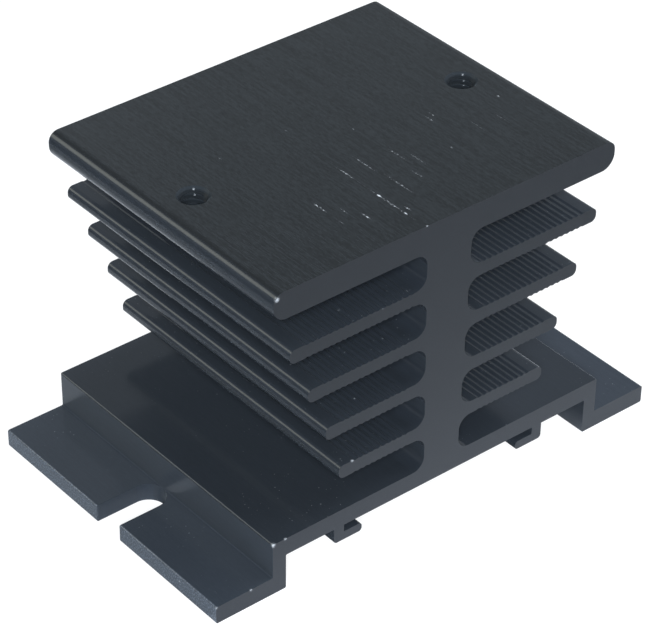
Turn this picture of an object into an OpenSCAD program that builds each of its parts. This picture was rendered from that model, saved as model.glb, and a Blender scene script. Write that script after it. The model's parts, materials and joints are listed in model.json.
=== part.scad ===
// Extruded heat sink for one panel-type relay: a top plate on a web with ribbed fins,
// standing on a hat-shaped base with slotted flanges and a rail channel underneath.
// Millimetres. The profile lies in XZ, the extrusion runs along Y, the foot is at Z = 0.

/* [Overall] */
// Cut length along the extrusion
length = 50; // [30:1:150]
// Overall height from foot to top plate
height = 50; // [46:0.5:60]
// Overall width across the two flanges
base_w = 80; // [77:0.5:110]

/* [Top plate] */
// Width of the top plate
plate_w = 60; // [57.5:0.5:76]
// Thickness of the top plate
plate_t = 4.4; // [4:0.1:6]
// Rounding of the plate's upper edges
plate_top_r = 1.6; // [0.3:0.1:1.8]
// Rounding of the plate's lower edges
plate_under_r = 2.2; // [0.3:0.1:2.3]

/* [Web] */
// Web width under the top plate
web_top_w = 7.8; // [5:0.1:10]
// Web width on the base
web_foot_w = 6.4; // [5:0.1:10]
// Rounding where fins, plate and base meet the web
root_r = 2; // [0.5:0.1:2.2]

/* [Fins] */
// Thickness of each fin over its rib crests
fin_t = 2.2; // [1.9:0.1:2.6]
// Reach of the first fin from the middle
fin_1_reach = 27.3; // [15:0.1:29]
// Reach of the second fin from the middle
fin_2_reach = 24.2; // [15:0.1:29]
// Reach of the third fin from the middle
fin_3_reach = 21.1; // [15:0.1:29]
// Reach of the fourth fin from the middle
fin_4_reach = 18.7; // [15:0.1:29]
// Rounding of the fin tips
tip_r = 0.9; // [0.2:0.1:0.9]
// Plain strip at each fin tip
tip_land = 2.4; // [1.5:0.1:5]

/* [Ribs] */
// Spacing of the ribs along a fin
rib_pitch = 1; // [0.8:0.05:2]
// Depth of the grooves between the ribs
rib_depth = 0.12; // [0.05:0.01:0.4]

/* [Base] */
// Height of the raised plateau above the foot
plateau_h = 8.8; // [8:0.1:11]
// Width of the raised plateau
plateau_w = 60.4; // [54:0.2:62]
// Wall of the raised plateau
plateau_t = 2.9; // [2:0.1:3.2]
// Wall of the two risers
riser_t = 2.3; // [1.5:0.1:3]
// Thickness of the two flanges
flange_t = 2.9; // [2:0.1:4]
// Rounding of the base's outer edges
edge_r = 0.25; // [0.1:0.05:0.6]
// Rounding inside the base's corners
inner_r = 0.2; // [0.1:0.1:1]

/* [Rail channel] */
// Clear width between the two hooks
rail_w = 35.2; // [34:0.1:37]
// Clear height between plateau and hook lips
rail_gap = 1.2; // [0.8:0.1:1.6]
// Wall of the hook stems
hook_t = 1.8; // [1.2:0.1:2.4]
// Length of each lip over the rail
lip_w = 3.2; // [1.5:0.1:5]
// Thickness of each lip
lip_t = 1.4; // [1:0.1:2]

/* [Holes and slots] */
// Spacing of the two tapped holes
screw_spacing = 47.6; // [40:0.1:48]
// Diameter of the tapped holes at the thread's root
screw_d = 4.2; // [3:0.1:5]
// Depth of the chamfer at each hole's mouth
mouth = 0.3; // [0.1:0.05:0.6]
// Width of the open-ended flange slots
slot_w = 5.5; // [4.5:0.1:7]
// Reach of each slot in from the flange's edge
slot_reach = 9.7; // [6:0.1:9.7]

/* [Hidden] */
fin_reach = [fin_1_reach, fin_2_reach, fin_3_reach, fin_4_reach];
fin_count = len(fin_reach);
plate_z = height - plate_t;
fin_gap = (plate_z - plateau_h - fin_count * fin_t) / (fin_count + 1);
fin_step = fin_gap + fin_t;
plateau_z = plateau_h - plateau_t;
riser_x = plateau_w / 2 - riser_t;
lip_top = plateau_z - rail_gap;
lip_foot = lip_top - lip_t;
stem_x = rail_w / 2;
lip_r = 0.4 * lip_t;
rib_start = max(web_top_w, web_foot_w) / 2 + root_r;
crest = 0.15 * rib_pitch;
flank = 0.35 * rib_pitch;
lap = 0.5;
slack = 1;
arc_fn = 48;
tone = [0.14, 0.15, 0.16];

// Middle height of fin i, counted from the top
function fin_z(i) = plate_z - fin_gap - fin_t / 2 - i * fin_step;

// Half width of the web in gap i, counted from the top
function web_x(i) = (web_top_w + (web_foot_w - web_top_w) * i / fin_count) / 2;

// How many whole ribs fit on fin i
function rib_count(i) = floor((fin_reach[i] - tip_land - rib_start) / rib_pitch);

// One groove of a ribbed face, from its outer to its inner edge, side +1 above or -1 below
function groove(x, side) = [
    [x - crest / 2, side * fin_t / 2],
    [x - crest / 2 - flank, side * (fin_t / 2 - rib_depth)],
    [x - rib_pitch + crest / 2 + flank, side * (fin_t / 2 - rib_depth)],
    [x - rib_pitch + crest / 2, side * fin_t / 2]
];

// All grooves of one face of fin i, from the tip inwards
function rib_line(i, side) = [
    for (k = [0 : rib_count(i) - 1])
    for (p = groove(fin_reach[i] - tip_land - k * rib_pitch, side))
    p
];

function reversed(list) = [for (k = [len(list) - 1 : -1 : 0]) list[k]];

// Rest of a square corner outside a circle that touches both its sides:
// added, it fills an inner corner, and cut away, it rounds an outer one
module corner(x, z, dx, dz, r) {
    difference() {
        translate([dx > 0 ? x - lap : x - r, dz > 0 ? z - lap : z - r])
            square(r + lap);
        translate([x + dx * r, z + dz * r])
            circle(r, $fn = arc_fn);
    }
}

module both_sides() {
    children();
    mirror([1, 0]) children();
}

module plate_half() {
    difference() {
        translate([-lap, plate_z])
            square([plate_w / 2 + lap, plate_t]);
        corner(plate_w / 2, height, -1, -1, plate_top_r);
        corner(plate_w / 2, plate_z, -1, 1, plate_under_r);
    }
}

module fin_half(i) {
    tip = fin_reach[i];
    translate([0, fin_z(i)])
        difference() {
            polygon(concat(
                [[-lap, -fin_t / 2]],
                reversed(rib_line(i, -1)),
                [[tip, -fin_t / 2], [tip, fin_t / 2]],
                rib_line(i, 1),
                [[-lap, fin_t / 2]]
            ));
            corner(tip, fin_t / 2, -1, -1, tip_r);
            corner(tip, -fin_t / 2, -1, 1, tip_r);
        }
}

// Web beside gap i, with its rounded roots
module web_half(i) {
    top = plate_z - i * fin_step;
    foot = top - fin_gap;
    translate([-lap, foot - fin_t / 2])
        square([web_x(i) + lap, fin_gap + fin_t]);
    corner(web_x(i), top, 1, -1, root_r);
    corner(web_x(i), foot, 1, 1, root_r);
}

module base_half() {
    outer_x = plateau_w / 2;
    edge_x = base_w / 2;
    difference() {
        union() {
            polygon([
                [-lap, plateau_z],
                [riser_x, plateau_z],
                [riser_x, 0],
                [edge_x, 0],
                [edge_x, flange_t],
                [outer_x, flange_t],
                [outer_x, plateau_h],
                [-lap, plateau_h]
            ]);
            corner(outer_x, flange_t, 1, 1, inner_r);
            corner(riser_x, plateau_z, -1, -1, inner_r);
        }
        corner(outer_x, plateau_h, -1, -1, edge_r);
        corner(riser_x, 0, 1, 1, edge_r);
        corner(edge_x, 0, -1, 1, edge_r);
        corner(edge_x, flange_t, -1, -1, edge_r);
    }
}

module hook_half() {
    lip_x = stem_x - lip_w;
    back_x = stem_x + hook_t;
    difference() {
        polygon([
            [stem_x, plateau_z + lap],
            [stem_x, lip_top],
            [lip_x, lip_top],
            [lip_x, lip_foot],
            [back_x, lip_foot],
            [back_x, plateau_z + lap]
        ]);
        corner(lip_x, lip_top, 1, -1, lip_r);
        corner(lip_x, lip_foot, 1, 1, lip_r);
        corner(back_x, lip_foot, -1, 1, lip_r);
    }
}

module profile() {
    both_sides() {
        plate_half();
        for (i = [0 : fin_count - 1])
            fin_half(i);
        for (i = [0 : fin_count])
            web_half(i);
        base_half();
        hook_half();
    }
}

// Tapped hole through the top plate, with a chamfered mouth
module screw_hole() {
    translate([0, 0, plate_z - slack])
        cylinder(h = plate_t + 2 * slack, d = screw_d, $fn = arc_fn);
    translate([0, 0, height - mouth])
        cylinder(h = mouth + slack, d1 = screw_d, d2 = screw_d + 2 * (mouth + slack), $fn = arc_fn);
}

// Slot open at the flange's outer edge, with a round inner end
module flange_slot() {
    end_x = base_w / 2 - slot_reach + slot_w / 2;
    translate([end_x, 0, -slack])
        cylinder(h = flange_t + inner_r + slack, d = slot_w, $fn = arc_fn);
    translate([end_x, -slot_w / 2, -slack])
        cube([slot_reach, slot_w, flange_t + inner_r + slack]);
}

module heat_sink() {
    color(tone)
        difference() {
            rotate([90, 0, 0])
                linear_extrude(height = length, center = true)
                    profile();
            for (side = [-1, 1])
                translate([side * screw_spacing / 2, 0, 0])
                    screw_hole();
            flange_slot();
            mirror([1, 0, 0])
                flange_slot();
        }
}

heat_sink();
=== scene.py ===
"""Looks of an extruded heat sink: black finish, threads, handling marks and the photograph's view."""

import json
import math
from types import SimpleNamespace

import bpy
from bpy.props import FloatProperty, FloatVectorProperty, IntProperty, PointerProperty
from bpy.types import Operator, Panel, PropertyGroup
from mathutils import Matrix, Vector


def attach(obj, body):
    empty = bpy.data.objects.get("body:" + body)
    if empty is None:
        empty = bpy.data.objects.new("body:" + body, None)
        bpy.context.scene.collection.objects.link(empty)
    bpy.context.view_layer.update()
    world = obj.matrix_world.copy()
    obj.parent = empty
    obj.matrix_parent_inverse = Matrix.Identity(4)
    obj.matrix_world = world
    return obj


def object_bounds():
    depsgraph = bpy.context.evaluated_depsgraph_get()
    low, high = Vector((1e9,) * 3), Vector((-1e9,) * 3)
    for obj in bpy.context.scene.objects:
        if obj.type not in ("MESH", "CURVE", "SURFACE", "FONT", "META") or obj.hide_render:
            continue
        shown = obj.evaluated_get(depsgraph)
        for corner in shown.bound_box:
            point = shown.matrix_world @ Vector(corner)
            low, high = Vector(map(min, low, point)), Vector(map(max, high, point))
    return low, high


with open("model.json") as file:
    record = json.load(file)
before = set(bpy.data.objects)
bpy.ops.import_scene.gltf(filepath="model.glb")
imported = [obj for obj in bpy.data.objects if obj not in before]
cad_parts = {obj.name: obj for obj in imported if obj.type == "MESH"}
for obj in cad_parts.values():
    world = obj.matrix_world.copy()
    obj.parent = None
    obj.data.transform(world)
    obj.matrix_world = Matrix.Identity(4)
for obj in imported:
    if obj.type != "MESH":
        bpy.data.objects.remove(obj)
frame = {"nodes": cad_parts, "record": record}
CAD_BOX = [list(corner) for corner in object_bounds()]

bl_info = {
    "name": "Heat Sink Looks",
    "version": (1, 0, 0),
    "blender": (4, 5, 0),
    "location": "View3D > Sidebar > Heat Sink",
    "description": "Finishes and stages an extruded heat sink",
    "category": "Object",
}

NODE = "heat_sink"

# Metres in a millimetre
MM = 0.001

# Sizes from the frame, in millimetres
HALF_WIDTH, HALF_LENGTH, TOP = (round(reach / MM, 3) for reach in CAD_BOX[1])
FRONT = -HALF_LENGTH
SCREWS = next(mount["dims"] for mount in frame["record"]["mounts"] if mount["name"] == "relay_screws")
SCREW_X = SCREWS["spacing_x_mm"] / 2
SCREW_RADIUS = SCREWS["hole_r_mm"]

# Profile in millimetres: heights above the foot, the risers' faces from the middle, and the holes' mouths
PLATE_FOOT = 45.6
PLATEAU_TOP = 8.8
FLANGE_TOP = 2.9
RISER_OUTSIDE = 30.2
RISER_INSIDE = 27.9
MOUTH_CHAMFER = 0.3
MOUTH_RADIUS = SCREW_RADIUS + MOUTH_CHAMFER

# How squarely a face looks along an axis, as a cosine, where a mask starts and where it is full
FACES_END = (0.85, 0.97)
FACES_UP = (0.95, 0.995)
FACES_SIDE = (0.7, 0.9)
CATCHES_DUST = (0.6, 0.9)
LEANS_SIDEWAYS = (0.4, 0.55)
LEANS_UPWARD = (0.1, 0.2)

# Darker and lighter shades of the finish, as factors on its colours; the riser and crease factors are
# painted shade
RISER_PAINTED_SHADE = 0.85
CREASE_PAINTED_SHADE = 0.9
RIM_SHADES = (0.8, 1.7)
SAWN_SHADE = 1.15
CHAMFER_SHADE = 1.9
STREAK_SHADE = 2.4

# Noise of the finish, in cycles a metre along each axis
FINE_LINES = (8000, 900, 8000)
BROAD_LINES = (3500, 110, 3500)
CLOUDS = (90, 60, 90)
GRAIN = (2600, 2600, 2600)

# Patterns cut from noise: cycles a metre, detail, and the levels where a mark starts and is full
GRIT = ((4200, 4200, 4200), 1, 0.42, 0.72)
BITES = ((4600, 1900, 4600), 2, 0.43, 0.66)
RAGS = ((9000, 3500, 9000), 1, 0.35, 0.65)
FLECKS = ((3400, 3400, 3400), 0, 0.8, 0.84)
DRIFTS = ((150, 150, 150), 1, 0.4, 0.65)

# Strengths of the patterns
FINE_SHARE = 0.6
STREAK_LEVELS = (0.4, 0.6)
STREAK_FAINT = 0.06
SAWN_LEVELS = (0.3, 0.7)
CLOUD_SHARES = (0.9, 1.15)
DUST_SHARE = 0.12
RUBBED_FILM = 0.15
RELIEF_STRENGTH = 0.08
RELIEF_DEPTH = 0.02 * MM

# Broken scratches along the top plate: x, near and far end in mm, and strength
SCRATCHES = (
    (-12.5, -14.5, -11.5, 0.8),
    (-12.5, -18.0, -16.0, 0.45),
    (-10.5, -16.5, -14.0, 0.5),
    (-9.0, -19.5, -17.0, 1.0),
    (-4.5, -11.5, -5.5, 0.65),
    (-4.5, -24.0, -12.0, 0.7),
    (-3.5, -21.0, -19.5, 0.8),
    (-1.0, -11.0, -5.5, 0.7),
    (-0.5, -18.5, -11.0, 0.65),
    (3.0, -16.5, -13.0, 0.5),
    (4.0, -11.5, -7.0, 0.65),
    (5.5, -14.0, -9.5, 0.5),
    (13.5, -6.0, -4.0, 0.7),
    (14.5, -5.5, -3.5, 0.6),
    (17.5, -13.0, -8.5, 0.35),
    (21.5, -13.0, -9.0, 0.35),
)

# Single bright pits in the top plate: x and y in mm, and strength
PITS = (
    (-12.5, -12.0, 0.6),
    (-4.5, -15.5, 1.2),
    (-4.5, -21.0, 0.8),
    (-4.0, 5.0, 0.35),
    (3.5, -0.5, 0.4),
    (-15.5, 5.0, 0.4),
    (11.0, -12.5, 0.5),
    (25.0, -6.5, 0.7),
)

# Bright nicks on edges and corners: place and radius in mm, and strength
NICKS = (
    (-29.4, FRONT, 49.2, 0.29, 1.0),
    (-30.1, FRONT, 8.7, 0.32, 1.0),
    (-28.0, FRONT, 8.8, 0.19, 0.9),
    (-32.8, 0.7, 2.9, 0.22, 0.8),
    (-40.0, FRONT, 2.8, 0.22, 0.8),
    (-40.0, -16.7, 2.0, 0.19, 0.5),
    (-34.0, FRONT, 2.8, 0.19, 0.7),
    (-16.3, FRONT, 16.6, 0.21, 0.9),
    (-16.3, -21.6, 40.0, 0.14, 0.8),
    (-4.2, FRONT, TOP, 0.15, 0.7),
    (-11.5, FRONT, 40.0, 0.14, 0.8),
    (-13.8, -22.2, 24.4, 0.12, 0.6),
)

# Painted glints on the threads, as bright spots in the colour of bare metal: side, x from the hole's
# middle, y, height and radius in mm, and strength
PAINTED_THREAD_GLINTS = (
    (-1, 1.3, 1.7, 49.6, 0.13, 1.0),
    (-1, 1.3, 1.5, 48.8, 0.11, 0.9),
    (-1, 1.3, 1.5, 47.4, 0.1, 0.6),
    (1, 1.5, 1.4, 49.7, 0.13, 1.0),
    (1, 1.6, 1.2, 48.8, 0.11, 0.9),
    (1, 1.6, 1.2, 48.0, 0.1, 0.7),
)

# Shape of the marks: widths and depth in mm, lengths as a share of the scratch, and strengths
HAIR_WIDTH = 0.11
HAIR_STRETCH = 1.5
HAIR_SHARE = 0.5
BAND_WIDTH = 0.4
BAND_STRETCH = 1.3
BAND_LEVELS = (0.1, 1.0)
MARK_DEPTH = 0.5
PIT_REACH = (0.25, 0.45, MARK_DEPTH)
SCRATCH_STRENGTH = 0.84
RAG_SHARES = (0.5, 1.0)
WORN_LEVELS = (0.05, 1.3)

# Holes as masks: how far they reach in mm, and the levels at the chamfer's edge and at the bore's
HOLE_LAP = 0.05
HOLE_HEIGHT = 200
HOLE_REACH = (MOUTH_RADIUS + HOLE_LAP, MOUTH_RADIUS + HOLE_LAP, HOLE_HEIGHT)
MOUTH_LEVELS = (0.0, 0.04)
BORE_LEVELS = (0.13, 0.2)

# Edges that turn by more than this are broken, or stay sharp in the shading of a thread
SHARP_ANGLE = math.radians(35)

# Half height of a thread's ridge at its foot, as a share of the pitch, and its lap in the wall in mm
RIDGE_SHARE = 0.46
RIDGE_LAP = 0.02

# Lamps: name, place and size in metres, power in watts, colour, and whether mirror rays meet it
LAMPS = (
    ("window", (-0.7, 0.72, 0.56), (0.9, 0.38), 2.3, (0.99, 1, 0.84), True),
    ("right glow", (0.85, 0.73, 0.31), (0.8, 0.26), 0.12, (0.95, 0.98, 1), True),
    ("right fill", (0.8, -0.1, 0.95), (1.0, 1.0), 12.5, (0.9, 0.97, 1.07), False),
    ("right glint", (0.8, -0.1, 0.95), (1.0, 1.0), 1.3, (0.95, 0.98, 1), True),
    ("camera fill", (-0.73, -0.88, 0.83), (0.3, 0.3), 29, (0.88, 0.96, 1.06), False),
)
LAMP_AIM = (0, 0, 0.03)

# Width of the camera's sensor in millimetres
SENSOR_WIDTH = 36

# Table as mirror rays meet it, in metres and greys: a patch of painted light, duller to the right, dark
# elsewhere, and a painted shadow under the part
PATCH_MIDDLE = (0.1, 0.06, 0)
PATCH_FADE = (0.08, 0.2)
PATCH_TURN = (0.0, 0.09)
PATCH_LEFT = 0.88
PATCH_RIGHT = 0.48
PATCH_OUTSIDE = 0.06
PAINTED_SHADOW_UNDER_PART = 0.05

# Light that the table gives off just in front of the part, weaker to the right
POOL_COLOUR = (0.88, 0.97, 1.14, 1)
POOL_TURN = (-0.034, 0.026)
POOL_LEFT = 0.86
POOL_RIGHT = 0.49

# White of the table for the camera, thinner near the part so that the shadow shows
WHITE_STRENGTH = 1.1
WHITE_FADE = (0.14, 0.2)
WHITE_NEAR = 0.8

# Surroundings by the height and side of a mirror ray: levels as factors on the sky, and their limits
SKY_COLOUR = (0.9, 0.97, 1.04, 1)
SKY_LOW = 0.7
SKY_BAND = 1.55
BAND_START = (0.15, 0.45)
BAND_STOP = (0.46, 0.6)
SKY_LEFT = 1.4
LEFT_START = (-0.01, -0.08)
SKY_DIFFUSE = 0.4


class FinishSettings(PropertyGroup):
    """Black anodised finish of the extrusion."""

    skin: FloatVectorProperty(
        name="Skin",
        description="Colour of the anodised skin",
        subtype="COLOR",
        size=4,
        default=(0.019, 0.0227, 0.0278, 1),
    )
    face: FloatVectorProperty(
        name="Top face",
        description="Colour of the drawn top face",
        subtype="COLOR",
        size=4,
        default=(0.0068, 0.0079, 0.0086, 1),
    )
    # Painted light: a lighter, bluer copy of the skin for the flanges and the risers' outer faces, which
    # the lit table brightens
    foot: FloatVectorProperty(
        name="Foot",
        description="Colour of the base",
        subtype="COLOR",
        size=4,
        default=(0.0305, 0.0367, 0.0458, 1),
    )
    rim: FloatVectorProperty(
        name="Rims",
        description="Colour of the flanges' outer edges",
        subtype="COLOR",
        size=4,
        default=(0.055, 0.065, 0.08, 1),
    )
    sawn: FloatVectorProperty(
        name="Sawn ends",
        description="Colour of the sawn ends",
        subtype="COLOR",
        size=4,
        default=(0.0145, 0.0159, 0.0184, 1),
    )
    bore: FloatVectorProperty(
        name="Bores",
        description="Colour inside the tapped holes",
        subtype="COLOR",
        size=4,
        default=(0.0125, 0.0148, 0.017, 1),
    )
    # Also the colour of the painted glints on the threads
    bare: FloatVectorProperty(
        name="Bare metal",
        description="Colour where the skin is gone",
        subtype="COLOR",
        size=4,
        default=(0.8, 0.82, 0.84, 1),
    )
    film_tint: FloatVectorProperty(
        name="Film tint",
        description="Colour of the film of dust",
        subtype="COLOR",
        size=4,
        default=(0.85, 0.95, 1.0, 1),
    )
    skin_rough: FloatProperty(
        name="Skin roughness",
        description="Roughness of the drawn faces",
        subtype="FACTOR",
        default=0.16,
        min=0,
        max=1,
    )
    bore_rough: FloatProperty(
        name="Bore roughness",
        description="Roughness of the tapped holes",
        subtype="FACTOR",
        default=0.36,
        min=0,
        max=1,
    )
    sawn_rough: FloatProperty(
        name="Sawn roughness",
        description="Roughness of the sawn ends",
        subtype="FACTOR",
        default=0.55,
        min=0,
        max=1,
    )
    bare_rough: FloatProperty(
        name="Bare roughness",
        description="Roughness where the skin is gone",
        subtype="FACTOR",
        default=0.4,
        min=0,
        max=1,
    )
    gloss: FloatProperty(
        name="Gloss",
        description="Strength of the mirroring on open faces",
        subtype="FACTOR",
        default=0.5,
        min=0,
        max=1,
    )
    brink_gloss: FloatProperty(
        name="Brink gloss",
        description="Strength of the mirroring on the base's rounded edges",
        subtype="FACTOR",
        default=0.85,
        min=0,
        max=1,
    )
    hole_gloss: FloatProperty(
        name="Hole gloss",
        description="Strength of the mirroring in holes and creases",
        subtype="FACTOR",
        default=0.12,
        min=0,
        max=1,
    )
    film: FloatProperty(
        name="Film",
        description="Thin film of dust over the skin",
        subtype="FACTOR",
        default=0.04,
        min=0,
        max=1,
    )
    edge: FloatProperty(
        name="Edge break",
        description="Width of the broken edges",
        unit="LENGTH",
        default=0.08 * MM,
        min=0,
    )


class ThreadSettings(PropertyGroup):
    """Thread of the two tapped holes."""

    spacing: FloatProperty(
        name="Spacing",
        description="Between the holes",
        unit="LENGTH",
        default=2 * SCREW_X * MM,
    )
    root: FloatProperty(
        name="Root radius",
        description="Outer radius of the thread",
        unit="LENGTH",
        default=SCREW_RADIUS * MM,
    )
    crest: FloatProperty(
        name="Crest radius",
        description="Inner radius of the thread",
        unit="LENGTH",
        default=1.72 * MM,
    )
    pitch: FloatProperty(
        name="Pitch",
        description="Rise of one turn",
        unit="LENGTH",
        default=0.794 * MM,
    )
    low: FloatProperty(
        name="Start",
        description="Height where the thread starts",
        unit="LENGTH",
        default=46.0 * MM,
    )
    top: FloatProperty(
        name="Top",
        description="Height of the hole's mouth",
        unit="LENGTH",
        default=TOP * MM,
    )
    mouth: FloatProperty(
        name="Mouth radius",
        description="Radius of the chamfered mouth",
        unit="LENGTH",
        default=MOUTH_RADIUS * MM,
    )
    turns: FloatProperty(name="Turns", description="Number of turns", default=5.2, min=1)
    steps: IntProperty(name="Steps", description="Steps in one turn", default=40, min=12)


class StageSettings(PropertyGroup):
    """Camera, light and floor."""

    place: FloatVectorProperty(
        name="Camera",
        description="Place of the camera",
        unit="LENGTH",
        size=3,
        default=(-0.213542, -0.256919, 0.258967),
    )
    azimuth: FloatProperty(
        name="Azimuth",
        description="Turn of the camera",
        subtype="ANGLE",
        default=math.radians(-38.304),
    )
    elevation: FloatProperty(
        name="Elevation",
        description="Height angle of the camera",
        subtype="ANGLE",
        default=math.radians(37.241),
    )
    roll: FloatProperty(
        name="Roll",
        description="Roll of the camera",
        subtype="ANGLE",
        default=math.radians(-0.153),
    )
    lens: FloatProperty(
        name="Lens",
        description="Focal length in millimetres, for the sensor's width",
        default=159.15,
    )
    shift: FloatVectorProperty(
        name="Shift",
        description="Lens shift",
        size=2,
        default=(0.07904, 0.12102),
    )
    sky: FloatProperty(
        name="Sky",
        description="Strength of the surrounding light",
        default=0.25,
        min=0,
    )
    table: FloatProperty(
        name="Table",
        description="Size of the table",
        unit="LENGTH",
        default=4,
        min=0,
    )
    cloth: FloatVectorProperty(
        name="Table colour",
        description="Colour of the table",
        subtype="COLOR",
        size=4,
        default=(0.85, 0.85, 0.85, 1),
    )


def shader_node(tree, kind, values=None, **settings):
    """A new shader node with its settings, and values or links put on its inputs."""
    made = tree.nodes.new(kind)
    for name, value in settings.items():
        setattr(made, name, value)
    for key, value in (values or {}).items():
        if isinstance(value, bpy.types.NodeSocket):
            tree.links.new(value, made.inputs[key])
        else:
            made.inputs[key].default_value = value
    return made


def math_node(tree, operation, first, second=0.0, third=0.0):
    """Result of one sum on sockets or numbers."""
    values = {0: first, 1: second, 2: third}
    return shader_node(tree, "ShaderNodeMath", values, operation=operation).outputs[0]


def times(tree, first, *others):
    """Product of sockets and numbers."""
    for other in others:
        first = math_node(tree, "MULTIPLY", first, other)
    return first


def absolute(tree, value):
    """A value without its sign."""
    return math_node(tree, "ABSOLUTE", value)


def parts(tree, vector):
    """The three parts of a vector."""
    return shader_node(tree, "ShaderNodeSeparateXYZ", {0: vector}).outputs


def ramp(tree, value, low, high):
    """Smooth step of a value from 0 at low to 1 at high."""
    values = {0: value, 1: low, 2: high, 3: 0.0, 4: 1.0}
    return shader_node(tree, "ShaderNodeMapRange", values, interpolation_type="SMOOTHSTEP").outputs[0]


def step_at(tree, length, level, start, stop):
    """Smooth step of a length from 0 to 1, between two distances from a level, in millimetres."""
    return ramp(tree, length, (level + start) * MM, (level + stop) * MM)


def mix_colour(tree, factor, first, second):
    """Colour mixed from first to second."""
    made = shader_node(tree, "ShaderNodeMix", {0: factor, 6: first, 7: second}, data_type="RGBA")
    return made.outputs[2]


def mix_value(tree, factor, first, second):
    """Number mixed from first to second."""
    made = shader_node(tree, "ShaderNodeMix", {0: factor, 2: first, 3: second}, data_type="FLOAT")
    return made.outputs[0]


def shade(colour, factor):
    """A darker or lighter shade of a colour."""
    return [part * factor for part in colour[:3]] + [1]


def grey(level):
    """A grey colour."""
    return (level, level, level, 1)


def stretched_noise(tree, place, scale, detail=2.0):
    """Noise stretched by a different scale on each axis, in cycles a metre."""
    moved = shader_node(tree, "ShaderNodeMapping", {"Vector": place, "Scale": scale}).outputs[0]
    values = {"Vector": moved, "Scale": 1.0, "Detail": detail}
    return shader_node(tree, "ShaderNodeTexNoise", values).outputs[0]


def pattern(tree, place, scale, detail, low, high):
    """Mask cut from noise between two levels."""
    return ramp(tree, stretched_noise(tree, place, scale, detail), low, high)


def spot(tree, place, middle, reach):
    """Soft spot, 1 in its middle and 0 at its reach along each axis, all in millimetres."""
    scale = [1 / (r * MM) for r in reach]
    offset = [-m * MM * k for m, k in zip(middle, scale)]
    moved = shader_node(tree, "ShaderNodeMapping", {"Vector": place, "Location": offset, "Scale": scale})
    made = shader_node(tree, "ShaderNodeTexGradient", {0: moved.outputs[0]}, gradient_type="SPHERICAL")
    return made.outputs[1]


def new_material(name):
    """An empty node material, its tree and its output node."""
    material = bpy.data.materials.new(name)
    material.use_nodes = True
    tree = material.node_tree
    tree.nodes.clear()
    return material, tree, tree.nodes.new("ShaderNodeOutputMaterial")


def surface(tree):
    """Where a shaded point lies and how its face is turned, as sockets."""
    place = tree.nodes.new("ShaderNodeTexCoord").outputs["Object"]
    normal = tree.nodes.new("ShaderNodeNewGeometry").outputs["True Normal"]
    x, y, height = parts(tree, place)
    sideways, endways, upward = parts(tree, normal)
    return SimpleNamespace(
        place=place,
        across=absolute(tree, x),
        along=absolute(tree, y),
        height=height,
        sideways=absolute(tree, sideways),
        endways=absolute(tree, endways),
        upward=upward,
    )


def hole_masks(tree, at):
    """Masks of the two tapped holes: all inside the chamfered mouths, and the bores alone."""
    middle = (PLATE_FOOT + TOP) / 2
    left, right = (spot(tree, at.place, (side * SCREW_X, 0, middle), HOLE_REACH) for side in (-1, 1))
    in_plate = step_at(tree, at.height, PLATE_FOOT, -0.3, -0.1)
    inside = times(tree, math_node(tree, "ADD", left, right), in_plate)
    return ramp(tree, inside, *MOUTH_LEVELS), ramp(tree, inside, *BORE_LEVELS)


def crease_mask(tree, at, end):
    """Mask of the line where a riser meets its flange, without the sawn ends: there shade is painted and
    the mirroring is weak.
    """
    return times(
        tree,
        step_at(tree, at.across, RISER_OUTSIDE, 0.4, 0.25),
        step_at(tree, at.height, FLANGE_TOP, 0.35, 0.2),
        step_at(tree, at.across, RISER_OUTSIDE, -0.3, -0.1),
        math_node(tree, "SUBTRACT", 1.0, end),
    )


def zones(tree, at):
    """Masks of the finish's zones, 1 inside and 0 outside."""
    near_end = step_at(tree, at.along, HALF_LENGTH, -0.6, -0.4)
    end = times(tree, near_end, ramp(tree, at.endways, *FACES_END))
    top = step_at(tree, at.height, TOP, -0.5, -0.1)
    below_plateau = step_at(tree, at.height, PLATEAU_TOP, -0.2, -0.5)
    outside_riser = step_at(tree, at.across, RISER_OUTSIDE, -1.2, -0.6)
    leaning = ramp(tree, at.sideways, *LEANS_SIDEWAYS)
    rubbed = times(tree, leaning, ramp(tree, absolute(tree, at.upward), *LEANS_UPWARD))
    mouth, bore = hole_masks(tree, at)
    return SimpleNamespace(
        end=end,
        top=top,
        flat=times(tree, top, ramp(tree, at.upward, *FACES_UP)),
        flange=times(tree, below_plateau, outside_riser),
        upright=ramp(tree, at.sideways, *FACES_SIDE),
        rim=step_at(tree, at.across, HALF_WIDTH, -0.3, -0.1),
        crease=crease_mask(tree, at, end),
        rubbed=rubbed,
        brink=times(tree, rubbed, step_at(tree, at.height, PLATEAU_TOP, 0.6, 0.2)),
        mouth=mouth,
        bore=bore,
    )


def scratches(tree, place):
    """Strength of the broken scratches on the top plate: fine hairs, and bands bitten by noise."""
    bites = pattern(tree, place, *BITES)
    total = 0.0
    for x, near, far, strength in SCRATCHES:
        middle = (x, (near + far) / 2, TOP)
        half = (far - near) / 2
        hair = spot(tree, place, middle, (HAIR_WIDTH, HAIR_STRETCH * half, MARK_DEPTH))
        band = spot(tree, place, middle, (BAND_WIDTH, BAND_STRETCH * half, MARK_DEPTH))
        bitten = times(tree, ramp(tree, band, *BAND_LEVELS), bites)
        mark = math_node(tree, "MULTIPLY_ADD", hair, HAIR_SHARE, bitten)
        total = math_node(tree, "MULTIPLY_ADD", mark, strength * SCRATCH_STRENGTH, total)
    return total


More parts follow.
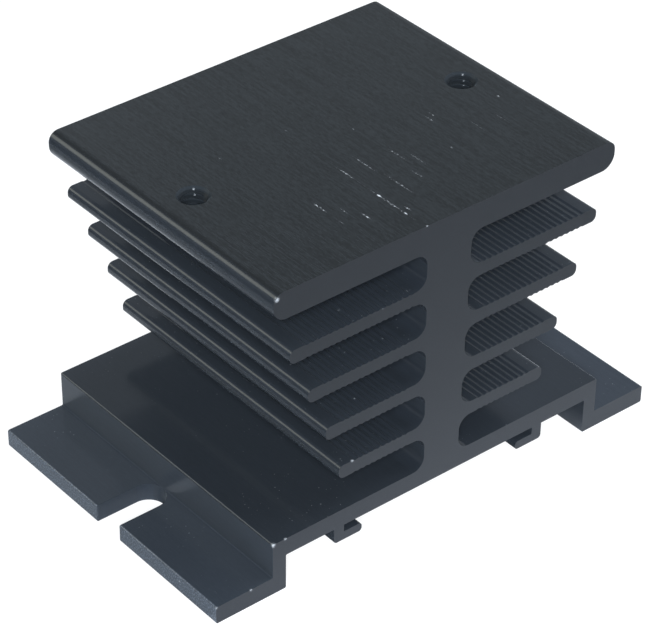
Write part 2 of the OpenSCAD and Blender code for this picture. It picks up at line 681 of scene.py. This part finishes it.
def wear_and_painted_glints(tree, place):
    """How far the skin is scratched, pitted and nicked down to metal, and where glints on the threads are
    painted in the same colour.
    """
    total = scratches(tree, place)
    for x, y, strength in PITS:
        mark = spot(tree, place, (x, y, TOP), PIT_REACH)
        total = math_node(tree, "MULTIPLY_ADD", mark, strength, total)
    # Painted glints on the threads, laid on in the same way as the nicks
    painted_thread_glints = [(side * SCREW_X + x, *rest) for side, x, *rest in PAINTED_THREAD_GLINTS]
    for x, y, z, radius, strength in (*NICKS, *painted_thread_glints):
        mark = spot(tree, place, (x, y, z), (2 * radius,) * 3)
        total = math_node(tree, "MULTIPLY_ADD", mark, strength, total)
    ragged = mix_value(tree, pattern(tree, place, *RAGS), *RAG_SHARES)
    return ramp(tree, times(tree, total, ragged), *WORN_LEVELS)


def dust(tree, at):
    """Fine dust on faces that look up, below the top plate."""
    flecks = pattern(tree, at.place, *FLECKS)
    drifts = pattern(tree, at.place, *DRIFTS)
    facing_up = ramp(tree, at.upward, *CATCHES_DUST)
    below_plate = step_at(tree, at.height, PLATE_FOOT, 1.4, -0.6)
    return times(tree, flecks, drifts, facing_up, below_plate, DUST_SHARE)


def drawn_lines(tree, place):
    """Fine and broad lines along the extrusion."""
    fine = stretched_noise(tree, place, FINE_LINES)
    broad = stretched_noise(tree, place, BROAD_LINES)
    return math_node(tree, "MULTIPLY_ADD", broad, 1 - FINE_SHARE, times(tree, fine, FINE_SHARE))


def base_colour(tree, at, zone, finish):
    """Colour of the base outside its plateau: flanges with painted light, risers and creases with painted
    shade on that, and gritty rims.
    """
    # Painted shade: the risers' upright faces darker than the flange tops
    flange = mix_colour(tree, zone.upright, finish.foot, shade(finish.foot, RISER_PAINTED_SHADE))
    # Painted shade: a darker line along the crease where a riser meets its flange
    crease_shaded = mix_colour(tree, zone.crease, flange, shade(finish.foot, CREASE_PAINTED_SHADE))
    dark, light = (shade(finish.rim, factor) for factor in RIM_SHADES)
    gritty = mix_colour(tree, pattern(tree, at.place, *GRIT), dark, light)
    return mix_colour(tree, zone.rim, crease_shaded, gritty)


def skin_colour(tree, at, zone, drawn, finish):
    """Colour of the drawn skin, streaked on the top face."""
    # The base outside the plateau takes its colour with painted light and painted shade here
    lower = mix_colour(tree, zone.flange, finish.skin, base_colour(tree, at, zone, finish))
    plain = mix_colour(tree, zone.top, lower, finish.face)
    values = {0: plain, 1: (STREAK_SHADE,) * 3}
    lighter = shader_node(tree, "ShaderNodeVectorMath", values, operation="MULTIPLY").outputs[0]
    share = mix_value(tree, zone.flat, STREAK_FAINT, 1.0)
    return mix_colour(tree, times(tree, ramp(tree, drawn, *STREAK_LEVELS), share), plain, lighter)


def coat_colour(tree, at, zone, drawn, grain, finish):
    """Colour of the whole coat: drawn skin, sawn ends, chamfered mouths and bores."""
    skin = skin_colour(tree, at, zone, drawn, finish)
    grainy = ramp(tree, grain, *SAWN_LEVELS)
    sawn = mix_colour(tree, grainy, finish.sawn, shade(finish.sawn, SAWN_SHADE))
    ended = mix_colour(tree, zone.end, skin, sawn)
    chamfered = mix_colour(tree, zone.mouth, ended, shade(finish.bore, CHAMFER_SHADE))
    return mix_colour(tree, zone.bore, chamfered, finish.bore)


def coat_roughness(tree, at, zone, finish):
    """Roughness of the coat: cloudy satin, turned holes and sawn ends."""
    smooth, dull = (finish.skin_rough * share for share in CLOUD_SHARES)
    satin = mix_value(tree, stretched_noise(tree, at.place, CLOUDS), smooth, dull)
    turned = mix_value(tree, zone.mouth, satin, finish.bore_rough)
    return mix_value(tree, zone.end, turned, finish.sawn_rough)


def coat_gloss(tree, zone, finish):
    """Strength of the mirroring: more on the base's rounded edges, little in holes and creases."""
    open_gloss = mix_value(tree, zone.brink, finish.gloss, finish.brink_gloss)
    hollow = math_node(tree, "MAXIMUM", zone.mouth, zone.crease)
    return mix_value(tree, hollow, open_gloss, finish.hole_gloss)


def anodised_material(finish):
    """Drawn black skin with sawn ends, tapped holes, scratches, nicks and dust, painted glints in the
    threads, painted light on the flanges and painted shade on the risers and creases.
    """
    material, tree, out = new_material("black anodised")
    at = surface(tree)
    zone = zones(tree, at)
    drawn = drawn_lines(tree, at.place)
    grain = stretched_noise(tree, at.place, GRAIN)
    # Wear and dust, and the painted glints on the threads
    wear_dust_and_glints = math_node(tree, "MAXIMUM", wear_and_painted_glints(tree, at.place), dust(tree, at))
    coat = coat_colour(tree, at, zone, drawn, grain, finish)
    relief = mix_value(tree, zone.end, times(tree, drawn, zone.flat), grain)
    raised = {"Strength": RELIEF_STRENGTH, "Distance": RELIEF_DEPTH, "Height": relief}
    bump = shader_node(tree, "ShaderNodeBump", raised)
    body = shader_node(
        tree,
        "ShaderNodeBsdfPrincipled",
        {
            "Base Color": mix_colour(tree, wear_dust_and_glints, coat, finish.bare),
            "Roughness": mix_value(tree, wear_dust_and_glints, coat_roughness(tree, at, zone, finish), finish.bare_rough),
            "IOR": 1.45,
            "Normal": bump.outputs[0],
            "Specular IOR Level": coat_gloss(tree, zone, finish),
            "Sheen Weight": mix_value(tree, zone.rubbed, finish.film, finish.film * RUBBED_FILM),
            "Sheen Roughness": 0.5,
            "Sheen Tint": finish.film_tint,
        },
    )
    tree.links.new(body.outputs[0], out.inputs["Surface"])
    return material


def mirrored_table(tree, x, y, reach):
    """Colour of the table for mirror rays: a patch of painted light on dark, and a painted shadow under the
    part.
    """
    patch = mix_colour(tree, ramp(tree, x, *PATCH_TURN), grey(PATCH_LEFT), grey(PATCH_RIGHT))
    around = mix_colour(tree, ramp(tree, reach, *PATCH_FADE), patch, grey(PATCH_OUTSIDE))
    between_risers = step_at(tree, absolute(tree, x), RISER_INSIDE, -0.4, -3.9)
    between_ends = step_at(tree, absolute(tree, y), HALF_LENGTH, 1, -1)
    return mix_colour(tree, times(tree, between_risers, between_ends), around, grey(PAINTED_SHADOW_UNDER_PART))


def light_pool(tree, x, y):
    """Shader of the light that the table gives off just in front of the part."""
    strength = times(
        tree,
        step_at(tree, y, FRONT, -37, -2),
        step_at(tree, y, FRONT, 3, -1),
        step_at(tree, absolute(tree, x), HALF_WIDTH, 50, 10),
        mix_value(tree, ramp(tree, x, *POOL_TURN), POOL_LEFT, POOL_RIGHT),
    )
    return shader_node(tree, "ShaderNodeEmission", {"Color": POOL_COLOUR, "Strength": strength}).outputs[0]


def table_material(stage):
    """Pale table that is white for the camera and keeps a faint shadow near the part."""
    material, tree, out = new_material("white table")
    rays = tree.nodes.new("ShaderNodeLightPath").outputs
    place = tree.nodes.new("ShaderNodeTexCoord").outputs["Object"]
    x, y, _ = parts(tree, place)
    apart = shader_node(tree, "ShaderNodeVectorMath", {0: place, 1: PATCH_MIDDLE}, operation="DISTANCE")
    reach = apart.outputs["Value"]
    # Mirror rays meet the painted light and painted shadow; other rays meet the even table colour
    cloth = mix_colour(tree, rays["Is Glossy Ray"], stage.cloth, mirrored_table(tree, x, y, reach))
    matt = shader_node(tree, "ShaderNodeBsdfDiffuse", {"Color": cloth}).outputs[0]
    lit = shader_node(tree, "ShaderNodeAddShader", {0: matt, 1: light_pool(tree, x, y)}).outputs[0]
    white = shader_node(tree, "ShaderNodeEmission", {"Color": grey(1), "Strength": WHITE_STRENGTH})
    whiter = mix_value(tree, ramp(tree, reach, *WHITE_FADE), WHITE_NEAR, 1.0)
    seen = times(tree, rays["Is Camera Ray"], whiter)
    mixed = shader_node(tree, "ShaderNodeMixShader", {0: seen, 1: lit, 2: white.outputs[0]})
    tree.links.new(mixed.outputs[0], out.inputs["Surface"])
    return material


class HEATSINK_OT_finish(Operator):
    """Black anodised finish on the extrusion"""

    bl_idname = "heatsink.finish"
    bl_label = "Finish"
    bl_options = {"REGISTER", "UNDO"}

    def execute(self, context):
        finish = context.scene.heatsink_finish
        sink = frame["nodes"][NODE]
        material = anodised_material(finish)
        for slot in sink.material_slots:
            slot.material = material
        weld = sink.modifiers.new("Weld", "WELD")
        weld.merge_threshold = 1e-6
        bevel = sink.modifiers.new("Broken edges", "BEVEL")
        bevel.width = finish.edge
        bevel.segments = 2
        bevel.limit_method = "ANGLE"
        bevel.angle_limit = SHARP_ANGLE
        even = sink.modifiers.new("Even shading", "WEIGHTED_NORMAL")
        even.keep_sharp = True
        return {"FINISHED"}


class HEATSINK_OT_threads(Operator):
    """Threads in the two tapped holes"""

    bl_idname = "heatsink.threads"
    bl_label = "Threads"
    bl_options = {"REGISTER", "UNDO"}

    def helix(self, context, thread):
        """One ridge wound from a triangle around the middle, with closed ends."""
        bpy.ops.object.select_all(action="DESELECT")
        bpy.ops.mesh.primitive_circle_add(vertices=3, radius=1, fill_type="NGON", location=(0, 0, 0))
        ridge = context.active_object
        half = thread.pitch * RIDGE_SHARE
        foot = thread.root + RIDGE_LAP * MM
        corners = ((foot, -half), (foot, half), (thread.crest, 0))
        for vertex, (reach, rise) in zip(ridge.data.vertices, corners):
            vertex.co = (reach, 0, rise)
        screw = ridge.modifiers.new("Helix", "SCREW")
        screw.angle = thread.turns * math.tau
        screw.screw_offset = thread.pitch * thread.turns
        screw.steps = screw.render_steps = int(thread.steps * thread.turns)
        screw.use_normal_calculate = True
        bpy.ops.object.modifier_apply(modifier=screw.name)
        bpy.ops.object.mode_set(mode="EDIT")
        bpy.ops.mesh.select_all(action="SELECT")
        bpy.ops.mesh.fill_holes(sides=0)
        bpy.ops.mesh.normals_make_consistent(inside=False)
        bpy.ops.object.mode_set(mode="OBJECT")
        ridge.data.transform(Matrix.Translation((0, 0, thread.low)))
        return ridge

    def countersink(self, context, ridge, thread):
        """Cuts the top turns back to the cone of the chamfered mouth."""
        over = 1 * MM
        depth = thread.mouth + over
        middle = (0, 0, thread.top + over - depth / 2)
        bpy.ops.object.select_all(action="DESELECT")
        bpy.ops.mesh.primitive_cone_add(vertices=64, radius1=0, radius2=depth, depth=depth, location=middle)
        cone = context.active_object
        cut = ridge.modifiers.new("Countersink", "BOOLEAN")
        cut.operation = "DIFFERENCE"
        cut.object = cone
        bpy.ops.object.select_all(action="DESELECT")
        context.view_layer.objects.active = ridge
        ridge.select_set(True)
        bpy.ops.object.modifier_apply(modifier=cut.name)
        bpy.ops.object.shade_smooth_by_angle(angle=SHARP_ANGLE)
        bpy.data.objects.remove(cone)

    def execute(self, context):
        thread = context.scene.heatsink_thread
        left = self.helix(context, thread)
        self.countersink(context, left, thread)
        left.data.materials.append(frame["nodes"][NODE].material_slots[0].material)
        bpy.ops.object.duplicate(linked=False)
        right = context.active_object
        for ridge, name, side in ((left, "thread_left", -1), (right, "thread_right", 1)):
            ridge.name = name
            ridge.data.transform(Matrix.Translation((side * thread.spacing / 2, 0, 0)))
            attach(ridge, "root")
        return {"FINISHED"}


class HEATSINK_OT_stage(Operator):
    """Floor, light and camera"""

    bl_idname = "heatsink.stage"
    bl_label = "Stage"
    bl_options = {"REGISTER", "UNDO"}

    def floor(self, context, stage):
        """Table under the part."""
        bpy.ops.object.select_all(action="DESELECT")
        bpy.ops.mesh.primitive_plane_add(size=stage.table, location=(0, 0, 0))
        floor = context.active_object
        floor.name = "floor"
        floor.data.materials.append(table_material(stage))

    def lamp(self, context, name, place, size, power, colour, mirrored):
        """One rectangular lamp that looks at the part."""
        bpy.ops.object.select_all(action="DESELECT")
        bpy.ops.object.light_add(type="AREA", location=place)
        lamp = context.active_object
        lamp.name = name
        lamp.rotation_euler = (Vector(LAMP_AIM) - Vector(place)).to_track_quat("-Z", "Y").to_euler()
        lamp.data.shape = "RECTANGLE"
        lamp.data.size, lamp.data.size_y = size
        lamp.data.energy = power
        lamp.data.color = colour
        lamp.visible_glossy = mirrored

    def surroundings(self, context, stage):
        """World that is white for the camera, and brighter in a band and to the left for mirror rays."""
        world = bpy.data.worlds.new("surroundings")
        world.use_nodes = True
        tree = world.node_tree
        tree.nodes.clear()
        rays = tree.nodes.new("ShaderNodeLightPath").outputs
        toward = tree.nodes.new("ShaderNodeTexCoord").outputs["Generated"]
        _, _, rise = parts(tree, toward)
        across = (math.cos(stage.azimuth), math.sin(stage.azimuth), 0)
        side = shader_node(tree, "ShaderNodeVectorMath", {0: toward, 1: across}, operation="DOT_PRODUCT")
        left = mix_value(tree, ramp(tree, side.outputs["Value"], *LEFT_START), 1.0, SKY_LEFT)
        low = mix_value(tree, ramp(tree, rise, *BAND_START), stage.sky * SKY_LOW, stage.sky * SKY_BAND)
        haze = times(tree, mix_value(tree, ramp(tree, rise, *BAND_STOP), low, stage.sky), left)
        mirrored = mix_value(tree, rays["Is Glossy Ray"], stage.sky * SKY_DIFFUSE, haze)
        light = mix_value(tree, rays["Is Camera Ray"], mirrored, 1.0)
        back = shader_node(tree, "ShaderNodeBackground", {"Color": SKY_COLOUR, "Strength": light})
        tree.links.new(back.outputs[0], tree.nodes.new("ShaderNodeOutputWorld").inputs["Surface"])
        context.scene.world = world
        context.scene.view_settings.view_transform = "Standard"

    def camera(self, context, stage):
        """Camera at the photograph's viewing angle."""
        bpy.ops.object.select_all(action="DESELECT")
        bpy.ops.object.camera_add(location=stage.place)
        camera = context.active_object
        turn = Matrix.Rotation(stage.azimuth, 3, "Z")
        tilt = Matrix.Rotation(math.pi / 2 - stage.elevation, 3, "X")
        roll = Matrix.Rotation(stage.roll, 3, "Z")
        camera.rotation_euler = (turn @ tilt @ roll).to_euler()
        camera.data.sensor_width = SENSOR_WIDTH
        camera.data.lens = stage.lens
        camera.data.shift_x, camera.data.shift_y = stage.shift
        camera.data.clip_start, camera.data.clip_end = 0.01, 20
        context.scene.camera = camera

    def execute(self, context):
        stage = context.scene.heatsink_stage
        self.floor(context, stage)
        for lamp in LAMPS:
            self.lamp(context, *lamp)
        self.surroundings(context, stage)
        self.camera(context, stage)
        return {"FINISHED"}


class HEATSINK_PT_panel(Panel):
    """Steps that dress and stage the heat sink"""

    bl_label = "Heat Sink"
    bl_idname = "HEATSINK_PT_panel"
    bl_space_type = "VIEW_3D"
    bl_region_type = "UI"
    bl_category = "Heat Sink"

    def draw(self, context):
        for operator in OPERATORS:
            self.layout.operator(operator.bl_idname)


OPERATORS = (HEATSINK_OT_finish, HEATSINK_OT_threads, HEATSINK_OT_stage)
GROUPS = {
    "heatsink_finish": FinishSettings,
    "heatsink_thread": ThreadSettings,
    "heatsink_stage": StageSettings,
}
CLASSES = (*GROUPS.values(), *OPERATORS, HEATSINK_PT_panel)


def register():
    """Adds the classes, and the settings on the scene."""
    for cls in CLASSES:
        bpy.utils.register_class(cls)
    for name, group in GROUPS.items():
        setattr(bpy.types.Scene, name, PointerProperty(type=group))


def unregister():
    """Takes the settings and the classes away again."""
    for name in GROUPS:
        delattr(bpy.types.Scene, name)
    for cls in reversed(CLASSES):
        bpy.utils.unregister_class(cls)


def main():
    """Finishes the part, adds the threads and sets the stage."""
    register()
    bpy.ops.heatsink.finish()
    bpy.ops.heatsink.threads()
    bpy.ops.heatsink.stage()


if __name__ == "__main__":
    main()
